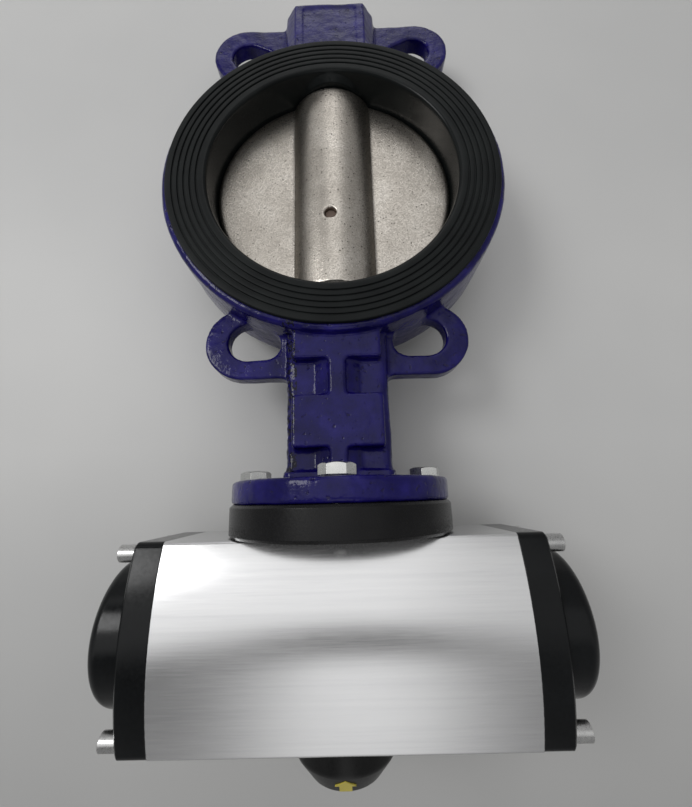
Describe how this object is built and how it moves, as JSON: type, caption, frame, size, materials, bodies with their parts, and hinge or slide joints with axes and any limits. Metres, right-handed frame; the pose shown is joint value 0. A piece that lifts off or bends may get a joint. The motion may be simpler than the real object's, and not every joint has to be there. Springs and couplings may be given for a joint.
{
  "type": "pneumatically actuated wafer butterfly valve",
  "caption": "Wafer butterfly valve with a rubber seat and pinned disc, turned a quarter turn by a rack and pinion pneumatic actuator on an adapter ring",
  "frame": {"origin": "where the stem axis crosses the pipe axis, at the middle of the disc", "axes": "+Z along the pipe axis, +Y along the stem from the actuator toward the valve's far boss, X along the actuator cylinder"},
  "size_m": [0.242, 0.515, 0.127],
  "materials": {
    "body_enamel": "glossy blue enamel over cast iron",
    "seat_rubber": "moulded black rubber with a satin sheen",
    "disc_plate": "nickel plated casting, fine grain",
    "stem_steel": "ground stainless steel",
    "bush_plastic": "off-white bearing polymer",
    "seal_rubber": "black nitrile",
    "plug_steel": "zinc plated",
    "bolt_zinc": "bright zinc plated",
    "adapter_black": "black coated steel, semi gloss",
    "cylinder_aluminium": "brushed along the cylinder, clear anodised",
    "cap_black": "black powder coat, satin gloss",
    "screw_stainless": "stainless steel",
    "piston_aluminium": "die cast, machined rack",
    "guide_plastic": "filled bearing polymer",
    "pinion_steel": "nickel plated steel",
    "indicator_black": "black moulded plastic",
    "arrow_yellow": "yellow moulded plastic"
  },
  "bodies": {
    "valve": {"valve_body": "body_enamel", "seat_liner": "seat_rubber", "stem_bush_neck": "bush_plastic", "stem_bush_end": "bush_plastic", "stem_gland_bush": "bush_plastic", "stem_orings": "seal_rubber", "stem_end_plug": "plug_steel", "flange_bolts": "bolt_zinc", "adapter_ring": "adapter_black", "adapter_screws": "screw_stainless", "actuator_body": "cylinder_aluminium", "end_cap_left": "cap_black", "end_cap_right": "cap_black", "cap_seal_left": "seal_rubber", "cap_seal_right": "seal_rubber", "cap_screws_left": "screw_stainless", "cap_screws_right": "screw_stainless", "pinion_bush_drive": "guide_plastic", "pinion_bush_top": "guide_plastic", "stop_screws": "screw_stainless", "stop_nuts": "screw_stainless"},
    "rotor": {"disc": "disc_plate", "stem": "stem_steel", "disc_taper_pin": "plug_steel", "pinion": "pinion_steel", "pinion_oring_drive": "seal_rubber", "pinion_oring_top": "seal_rubber", "pinion_thrust_washer": "screw_stainless", "pinion_circlip": "plug_steel", "stop_cam": "pinion_steel", "indicator": "indicator_black", "indicator_arrow": "arrow_yellow", "indicator_screw": "screw_stainless"},
    "piston_left": {"piston_left": "piston_aluminium", "piston_oring_left": "seal_rubber", "piston_guide_band_left": "guide_plastic"},
    "piston_right": {"piston_right": "piston_aluminium", "piston_oring_right": "seal_rubber", "piston_guide_band_right": "guide_plastic"}
  },
  "joints": [
    {"name": "stem_turn", "type": "hinge", "parent": "valve", "child": "rotor", "pos_m": [0, 0, 0], "axis": [0, 1, 0], "range_deg": [0, 90]},
    {"name": "piston_left_slide", "type": "slide", "parent": "valve", "child": "piston_left", "axis": [-1, 0, 0], "range_m": [0, 0.0236]},
    {"name": "piston_right_slide", "type": "slide", "parent": "valve", "child": "piston_right", "axis": [1, 0, 0], "range_m": [0, 0.0236]}
  ],
  "couplings": [
    {"joint": "piston_left_slide", "follows": "stem_turn", "m_per_rad": 0.015},
    {"joint": "piston_right_slide", "follows": "stem_turn", "m_per_rad": 0.015}
  ]
}
